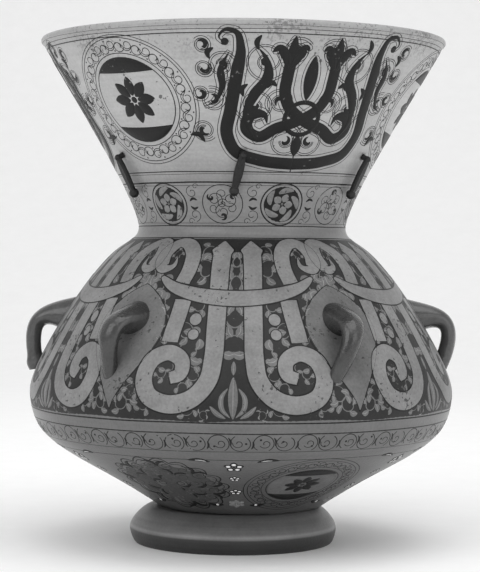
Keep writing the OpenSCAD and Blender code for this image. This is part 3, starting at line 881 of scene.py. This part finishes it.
# A strap is a spine, its half width and the shares of it that come to a point, first and last.
STRAPS = ((outer_strap, 3.9, 0.3, 0.0), (split_leaf, 3.4, 0.5, 0.3), (inner_stem, 3.7, 0.0, 0.12),
          (half_leaf, 2.5, 0.4, 0.6))
LILY = ([(15, 18), (15, 29), (15, 40)], [(16, 18), (19, 27), (24, 31), (27.5, 28)],
        [(14, 18), (10.5, 28), (7, 33), (4.5, 31)])
# A curl of the vine is its place across and up, its size, its first angle and its turn.
VINE = ((30, 22, 15, 200, 1), (31, -8, 14, 20, -1), (56, 14, 11, 250, -1), (8, -30, 12, 100, 1),
        (57, -10, 9, 60, 1), (12, 30, 10, 150, -1), (70, 24, 6, 20, 1), (58, -32, 8, 200, 1),
        (16, -4, 10, 300, 1), (66, 9, 6.5, 120, 1), (65, -8, 5.5, 300, -1))
LEAFLETS = ([(36, 38), (38, 33), (36, 28)], [(63, 24), (66, 20), (64, 16)],
            [(56, -40), (61, -36), (66, -38)], [(38, 5), (41, 1), (39, -4)], [(20, 6), (24, 8), (26, 4)])


def lined_leaf(pen, points, half):
    """A dark leaf with a hair line round it."""
    spine, width = smooth_line(points, 30), leaf_width(30, half)
    pen.mark(spine, width, 0.2, ink)
    pen.beside(spine, width + 1.5, 0.24, 0.13, line)


for at in PANEL_BEARINGS:
    pen = neck.pen(at, NECK_MIDDLE, mirror=True)
    for a, b, size, begin, turn in VINE:
        for off in (0.0, 1.5):
            tendril = curl(a, b, size - off, 3.2 - off / 2, begin, begin + 620 * turn, 90)
            pen.mark(tendril, 0.34, 0.1, line)
        pen.mark(curl(a, b, 3.4, 1.0, begin, begin + 250 * turn, 24), leaf_width(24, 1.3), 0.14, ink)
    for spine, half, first, final in STRAPS:
        width = band_width(len(spine), half, first, final)
        pen.mark(spine, width, 0.2, ink)
        pen.beside(spine, width + 1.6, 0.24, 0.13, line)
    pen.disc(57, 29.5, 2.4, 0.2, ink)
    for petal in LILY:
        lined_leaf(pen, petal, 3.1)
    for spine in LEAFLETS:
        pen.leaf(spine, 20, 1.7, 0.18, ink)
    middle = Pen(neck, pen.lay)
    lined_leaf(middle, [(0, -2), (0, 12), (0, 28)], 4.2)
    middle.ring(0, -14.4, 11, 1.5, 0.2, ink)
    middle.leaf([(0, -40), (0, -33), (0, -26)], 24, 3.4, 0.2, ink)
neck.make("enamel_neck")

# %% [markdown]
# Below the neck a narrow band of twelve medallions goes round the throat. Every other one is a
# dark disc with a pale rosette in a whirl of leaves. Those between are drawn in line only.

# %% Throat band
BAND_LOW, BAND_HIGH = way_at(207.2), way_at(234.0)
MEDALLIONS, FIRST_MEDALLION = 12, -40
band = Drawing()
belts(band, 0.1, (BAND_HIGH, 0.75, ink), (BAND_HIGH - 2.0, 0.22, line), (BAND_LOW, 0.45, line),
      (BAND_LOW + 1.8, 0.2, line))
band_middle = (BAND_LOW + BAND_HIGH) / 2
for k in range(MEDALLIONS):
    at = math.radians(FIRST_MEDALLION + 360 * k / MEDALLIONS)
    pen = band.pen(at, band_middle)
    if k % 2 == 0:
        pen.ring(0, 0, 13.8, 0.55, 0.12, ink)
        pen.disc(0, 0, 12.2, 0.12, edging)
        rosette(pen, 0, 0, 7.2, 5, 0.2, pale, 90 + 25 * k)
        rosette(pen, 0, 0, 3.0, 5, 0.26, edging, 126 + 25 * k)
        for turn_to in 36 + 25 * k + np.arange(0, 360, 72):
            bent = np.radians(turn_to + np.linspace(-34, 30, 16))
            pen.mark(polar(np.linspace(11.0, 7.4, 16), bent), leaf_width(16, 1.9), 0.2, pale)
    else:
        pen.ring(0, 0, 12.8, 0.34, 0.12, line)
        pen.mark(curl(0, 0, 3.4, 0.8, 30 * k, 30 * k + 500, 40), 0.3, 0.12, line)
        for turn_to in (0, 120, 240):
            centre = polar(5.4, math.radians(turn_to + 30 * k))
            pen.mark(curl(*centre, 5.2, 1.4, turn_to + 200, turn_to + 660, 48), 0.3, 0.12, line)
            pen.mark(curl(*(-1.2 * centre), 3.6, 1.0, turn_to, turn_to - 420, 36), 0.26, 0.12, line)
            tip = curl(*(1.55 * centre), 2.4, 0.6, turn_to, turn_to + 300, 20)
            pen.mark(tip, leaf_width(20, 0.9), 0.14, ink)
    gap = band.pen(at + math.radians(180 / MEDALLIONS), band_middle)
    for s in (1, -1):
        gap.mark(curl(0, 7.6 * s, 4.2, 1.0, 90 * s, 90 * s + 420, 36), 0.28, 0.11, line)
        gap.mark(curl(3.2 * s, 11.6 * s, 2.2, 0.6, 0, 360, 24), 0.24, 0.11, line)
        gap.leaf([(-2.5, 1.5 * s), (0, 3.4 * s), (3, 2.2 * s)], 14, 0.9, 0.13, ink)
band.make("enamel_band")

# %% [markdown]
# The body carries the widest field. A dark ground is laid right round it, and pale bands are
# left standing on it, each with a firm dark edge. Six pale drops lie under the handles and
# cut the field into six, so we plan one sixth as a fan between two handles. Half of it is
# enough, because it is the same on both sides: a tall stem that rolls into a scroll at the
# bottom, a loop beside it, a short bar, and one long crescent that ties all of them together.

# %% Body ground and drops
BODY_LOW, BODY_HIGH = way_at(90.1), way_at(199.7)
DROP_LOW, DROP_HIGH, DROP_HALF = BODY_LOW + 6, BODY_LOW + 91, 25.0
BODY_ROWS, BODY_COLUMNS, DROP_STEPS = 72, 288, 60

body = Drawing()
ways = np.linspace(BODY_LOW, BODY_HIGH, BODY_ROWS)[:, None] * MM
around = full_turn(BODY_COLUMNS)
edge_waver = 0.35 * np.sin(7 * around) + 0.25 * np.sin(17 * around + 1)
share = np.linspace(0, 1, BODY_ROWS)[:, None]
dip = np.where((share == 0) | (share == 1), EDGE_DIP, 0.0)
low_edge = (1 - share) * edge_waver * MM
body.add(on_glass(around, ways + low_edge, (0.08 + dip + 0 * around) * MM), ground, True)
belts(body, 0.12, (BODY_LOW - 0.4, 0.5, edging), (BODY_HIGH + 0.4, 0.5, edging))
drop_line = np.linspace([0.0, 0.0], [0.0, DROP_HIGH - DROP_LOW], DROP_STEPS)
drop_share = np.linspace(0, 1, DROP_STEPS)
drop_half = DROP_HALF * np.sin(math.pi * drop_share ** 1.45) ** 0.85 + 0.2
for at in HANDLE_BEARINGS:
    pen = Pen(body, fan_spot(at, 1.0, 1.0, DROP_LOW * MM))
    pen.band(drop_line, drop_half, 0.18, drop, edging)
print("ground", BODY_ROWS, "rows and", len(HANDLE_BEARINGS), "drops")

# %% [markdown]
# Between the bands the painter fills the dark with sprays of half-tone leaves. A spray is a
# curled stalk with leaves set along its outer side, each with a pale line down its middle that
# is a painted highlight. The leaves are many, so they are a piece of their own, and they lie
# lower than the bands, which may cross them.

# %% Body bands
HALF_FIELD = 75.0
SPRAY_LIFT, HIGHLIGHT_RISE, BODY_LIFT, CRESCENT_LIFT = 0.14, 0.03, 0.20, 0.28
OPEN_LOW, OPEN_HIGH, OPEN_GROWTH = 20, 100, 1.25
leaves = Drawing()
handle_order = np.sort(HANDLE_BEARINGS)
gaps = np.diff(np.append(handle_order, handle_order[0] + 2 * math.pi))


def spray(pen, a, b, size, begin, turn):
    """A curled stalk with leaves on it, about a point. turn is 1 or -1."""
    stalk = curl(a, b, size, 0.3 * size, begin, begin + 330 * turn, 26)
    pen.mark(stalk, band_width(26, 0.09 * size, 0.3, 0.0), SPRAY_LIFT, leaf)
    for k in np.linspace(2, 23, 4).astype(int):
        out = (stalk[k] - [a, b]) / np.linalg.norm(stalk[k] - [a, b])
        go = (stalk[k + 1] - stalk[k - 1]) / np.linalg.norm(stalk[k + 1] - stalk[k - 1])
        tip = stalk[k] + size * (0.45 * out + 0.85 * go)
        spine = smooth_line([stalk[k], stalk[k] + size * (0.34 * out + 0.36 * go), tip], 11)
        pen.mark(spine, leaf_width(11, 0.30 * size, 0.9), SPRAY_LIFT, leaf)
        # A painted highlight along the middle of the leaf.
        pen.mark(spine, leaf_width(11, 0.08 * size), SPRAY_LIFT + HIGHLIGHT_RISE, glint)


def headed(count, half, head):
    """Widths of a stem with a pointed head that is a little wider than the stem."""
    share = np.linspace(0, 1, count)
    return half * np.interp(share, [0, head, 1.4 * head, 0.97, 1], [0.02, 1.25, 1, 1, 0.9])


stem = smooth_line([(14, 130), (14, 108), (13, 84), (12.5, 60), (12.5, 40), (15, 25), (24, 14),
                    (37, 10.5), (49, 15), (54, 27), (50, 39), (40, 43), (31.5, 37.5), (32, 29),
                    (38, 26.5)], 170)
bar = smooth_line([(39, 80), (40, 68), (41.5, 56), (42, 50)], 40)
crescent = smooth_line([(64, 97), (52, 90), (36, 85), (18, 82), (0, 81), (-18, 82), (-36, 85), (-52, 90),
                        (-64, 97)], 140)
loop = smooth_line([(44, 92), (41, 104), (43, 117), (53, 126), (66, 126), (72, 114), (66, 103), (57, 106),
                    (57, 114)], 100)
loop_half, bar_half = band_width(100, 5.2, 0.0, 0.25), np.full(40, 5.6)
stem_half = headed(170, 5.9, 0.05) * np.interp(np.arange(170), [0, 140, 169], [1, 1, 0.75])
crescent_half = 5.8 * np.sin(math.pi * np.linspace(0, 1, 140)) ** 0.45 + 0.1
DOTS = ((27, 66, 4.4), (27, 55.5, 3.8))
# A spray is its place across and up, its size, its first angle and its turn. Those in the open
# middle of the field grow larger.
SPRAYS = ((27, 102, 9.5, 40, 1), (28, 117, 8.5, 200, -1), (0, 110, 8, 90, 1), (27, 45, 7.5, 120, -1),
          (68, 10, 6.5, 60, 1), (63, 88, 8.5, 250, 1), (52, 66, 8.5, 60, -1), (16, 5, 3.4, 250, 1),
          (53, 9, 5.5, 0, 1), (40, 33, 4.5, 0, 1), (2, 67, 8, 100, 1), (73, 98, 7, 200, 1),
          (2, 47, 8.5, 200, -1), (27, 75, 6, 0, 1), (61, 16, 6.5, 120, -1), (33, 57, 6, 30, 1),
          (52, 52, 7, 210, 1), (56, 78, 6, 100, -1), (57, 116, 5, 300, 1), (2, 93, 6.5, 280, -1),
          (27, 8, 5, 160, 1), (44, 29, 4, 20, 1), (23, 29, 4.5, 80, -1), (24, 38, 4, 200, 1),
          (30, 21, 4, 300, -1))
for at, gap in zip(handle_order, gaps):
    lay = fan_spot(at + gap / 2, gap / 2, HALF_FIELD * MM, BODY_LOW * MM)
    pen, middle = Pen(body, lay, mirror=True), Pen(body, lay)
    leaf_pen, leaf_middle = Pen(leaves, lay, mirror=True), Pen(leaves, lay)
    for a, b, size, begin, turn in SPRAYS:
        growth = OPEN_GROWTH if OPEN_LOW < b < OPEN_HIGH else 1.0
        spray(leaf_pen, a, b, size * growth, begin, turn)
    for spine, half in ((loop, loop_half), (stem, stem_half), (bar, bar_half)):
        pen.band(spine, half, BODY_LIFT, pale, edging)
    for a, b, size in DOTS:
        pen.disc(a, b, size, BODY_LIFT, pale)
        pen.ring(a, b, size, 0.4, 0.24, edging, 48)
    middle.band(crescent, crescent_half, CRESCENT_LIFT, pale, edging)
    for whose, points, half in ((leaf_middle, [(0, 2), (0, 12), (0, 28)], 3.0),
                                (leaf_pen, [(1.5, 3), (6, 8), (6.5, 15), (3, 21)], 1.6),
                                (leaf_pen, [(4, 2.5), (9, 5.5), (13, 10)], 1.5),
                                (leaf_middle, [(0, 29), (0, 33), (0, 38)], 1.5)):
        whose.leaf(points, 30, half, 0.16, leaf)
        # A painted highlight along the middle of each leaf.
        whose.leaf(points, 30, 0.3 * half, 0.19, glint)
body.make("enamel_body")
leaves.make("enamel_leaves")

# %% [markdown]
# Under the body a fine belt of running scrolls turns the corner to the underside. It is pen
# work only: open circles that lean on one another, with a fleck inside each.

# %% Belt
BELT_FOOT, BELT_LOW, BELT_HIGH = way_at(66.1), way_at(71.7), way_at(83.2)
BELT_UNITS = 62
scrolls = Drawing()
belts(scrolls, 0.1, (BELT_HIGH, 0.5, edging), (BELT_LOW, 0.32, line), (BELT_FOOT, 0.4, line))
belt_middle = (BELT_LOW + BELT_HIGH) / 2
for k in range(BELT_UNITS):
    pen = scrolls.pen(2 * math.pi * k / BELT_UNITS, belt_middle)
    flip = 1 if k % 2 else -1
    reach = 6.3 + 0.35 * math.sin(2.4 * k)
    pen.mark(curl(0, 0, reach, 0.9 * reach, 90 * flip - 150, 90 * flip + 150, 48), 0.42, 0.1, line)
    pen.mark(curl(1.4 * flip, 0, 3.6, 1.0, 200 * flip, 200 * flip + 380, 30), 0.38, 0.1, line)
    pen.disc(3.2 * math.cos(2.1 * k), 3.0 * math.sin(1.3 * k), 0.75, 0.12, ink)
    pen.leaf([(6.2, 4.6 * flip), (7.6, 1.5 * flip), (7.2, -2.0 * flip)], 12, 0.7, 0.12, ink)
scrolls.make("enamel_belt")

# %% [markdown]
# The underside is seen only when the lamp hangs high. Here roundels like the neck's alternate
# with scalloped medallions, closely filled with leaf scroll. Small flowers with white hearts
# stand between them.

# %% Underside
UNDER_MIDDLE = way_at(47.0)
UNDER_ROUNDELS, UNDER_MEDALLIONS = np.radians([25, 145, 265]), np.radians([-28, 92, 212])
UNDER_FLOWERS = np.radians([-2, 58.5, 118, 178.5, 238, 298.5])
under = Drawing()


def scallop(size, lobes, depth):
    """A closed line of rounded lobes."""
    around = full_turn(24 * lobes)
    reach = size * (1 - depth + depth * np.abs(np.sin(lobes / 2 * around)))
    return polar(reach, around)


for at in UNDER_ROUNDELS:
    pen = under.pen(at, UNDER_MIDDLE)
    for ring, half in ((37, 0.35), (34.5, 0.3), (26, 0.3), (23, 0.35)):
        pen.ring(0, 0, ring, half, 0.12, edging)
    pen.disc(0, 0, 23, 0.10, drop)
    pen.segment(0, 0, 22.6, 0.62, 0.16, edging)
    pen.segment(0, 0, 22.6, -0.64, 0.16, edging)
    rosette(pen, 0, 0, 12.5, 8, 0.16, edging)
    leaf_ring(pen, 26, 34.5, 30, 0.12, edging)
for at in UNDER_MEDALLIONS:
    pen = under.pen(at, UNDER_MIDDLE)
    pen.disc(0, 0, 32, 0.10, shade)
    pen.mark(scallop(37, 16, 0.12), 0.5, 0.14, edging, closed=True)
    pen.mark(scallop(34, 16, 0.12), 0.35, 0.12, edging, closed=True)
    for radius, count, size in ((27.5, 15, 5.6), (17.0, 9, 5.4), (7.0, 4, 4.6)):
        for k in range(count):
            turn_to = 360 * k / count
            a, b = polar(radius, math.radians(turn_to))
            flip = 1 if k % 2 else -1
            tendril = curl(a, b, size, 1.0, turn_to + 40, turn_to + 40 + 560 * flip, 44)
            pen.mark(tendril, 0.46, 0.12, edging)
            frond = curl(a, b, 1.15 * size, 0.9 * size, turn_to, turn_to + 110 * flip, 16)
            pen.mark(frond, leaf_width(16, 1.25), 0.14, edging)
for at in UNDER_FLOWERS:
    for higher, size in ((28, 6.5), (11, 3.8), (-10, 4.4)):
        pen = under.pen(at, UNDER_MIDDLE + higher)
        rosette(pen, 0, 0, size, 5, 0.14, edging)
        for angle in np.radians([90, 162, 234, 306, 18]):
            pen.disc(*polar(0.55 * size, angle), 0.23 * size, 0.2, bright)
    pen = under.pen(at, UNDER_MIDDLE - 28, mirror=True)
    rosette(Pen(under, pen.lay), 0, 0, 5.5, 6, 0.14, pale)
    pen.leaf([(8, -2), (13, -3.5), (18, -2)], 16, 1.8, 0.14, edging)
    pen.disc(12, -2.6, 1.1, 0.2, bright)
    pen = under.pen(at, UNDER_MIDDLE + 32, mirror=True)
    pen.leaf([(14, 2), (21, 3.5), (28, 2)], 16, 1.7, 0.14, edging)
    pen.leaf([(16, 2.4), (20, 3.2), (24, 2.8)], 10, 0.8, 0.2, bright)
under.make("enamel_underside")

# %% [markdown]
# The lamp stands on a white sheet that curves up far behind it, as in a museum's studio. Three
# large soft lamps light it: the key from the left, which gives the shape, a weaker fill from the
# right and one from above. The room's pale light opens the shadows.

# %% Studio
SHEET_FRONT, SHEET_BACK, SHEET_CURVE, SHEET_TOP, SHEET_SIDE = -4.0, 3.2, 1.8, 4.5, 5.0
SHEET_COLUMNS = 16
front = np.linspace([SHEET_FRONT, 0.0], [SHEET_BACK - SHEET_CURVE, 0.0], 12)
bend = np.radians(np.linspace(0, 90, 24))[:, None]
quarter = np.concatenate([np.sin(bend), -np.cos(bend)], 1)
rise = [SHEET_BACK - SHEET_CURVE, SHEET_CURVE] + SHEET_CURVE * quarter
wall_up = np.linspace([SHEET_BACK, SHEET_CURVE], [SHEET_BACK, SHEET_TOP], 8)
sheet = np.concatenate([front, rise[1:], wall_up[1:]])
side_x = np.linspace(-SHEET_SIDE, SHEET_SIDE, SHEET_COLUMNS)
deep, tall = (np.repeat(sheet[:, k:k + 1], SHEET_COLUMNS, 1) for k in (0, 1))
sheet_points = np.stack([np.broadcast_to(side_x, deep.shape), deep, tall], -1)
paper = solid("paper", 250, 0.9, 0.015, 0.008)
sheet_mesh = bpy.data.meshes.new("paper_sheet")
sheet_faces = grid_faces(len(sheet), SHEET_COLUMNS, False)
sheet_mesh.from_pydata(sheet_points.reshape(-1, 3).tolist(), [], sheet_faces.tolist())
sheet_mesh.materials.append(paper)
sheet_mesh.polygons.foreach_set("use_smooth", np.ones(len(sheet_mesh.polygons), bool))
backdrop = bpy.data.objects.new("paper_sheet", sheet_mesh)
bpy.context.scene.collection.objects.link(backdrop)


def soft_lamp(name, place, aim, size, watts):
    """A square of light at a place, turned to face a point."""
    data = bpy.data.lights.new(name, "AREA")
    data.size, data.energy = size, watts
    made = bpy.data.objects.new(name, data)
    bpy.context.scene.collection.objects.link(made)
    away = np.array(place, float) - np.array(aim, float)
    made.location = place
    down = math.atan2(np.hypot(away[0], away[1]), away[2])
    made.rotation_euler = (down, 0, math.atan2(away[0], -away[1]))
    return made


soft_lamp("key_light", (-1.5, -1.7, 1.7), (0, 0, 0.17), 2.0, 21)
soft_lamp("fill_light", (1.8, -1.6, 0.9), (0, 0, 0.17), 1.6, 9)
soft_lamp("top_light", (0.4, -0.5, 2.2), (0.1, -0.1, 0), 2.0, 20)
world = bpy.data.worlds.new("room")
world.use_nodes = True
world.node_tree.nodes["Background"].inputs["Color"].default_value = (1, 1, 1, 1)
world.node_tree.nodes["Background"].inputs["Strength"].default_value = 0.68
bpy.context.scene.world = world
print("studio lit")
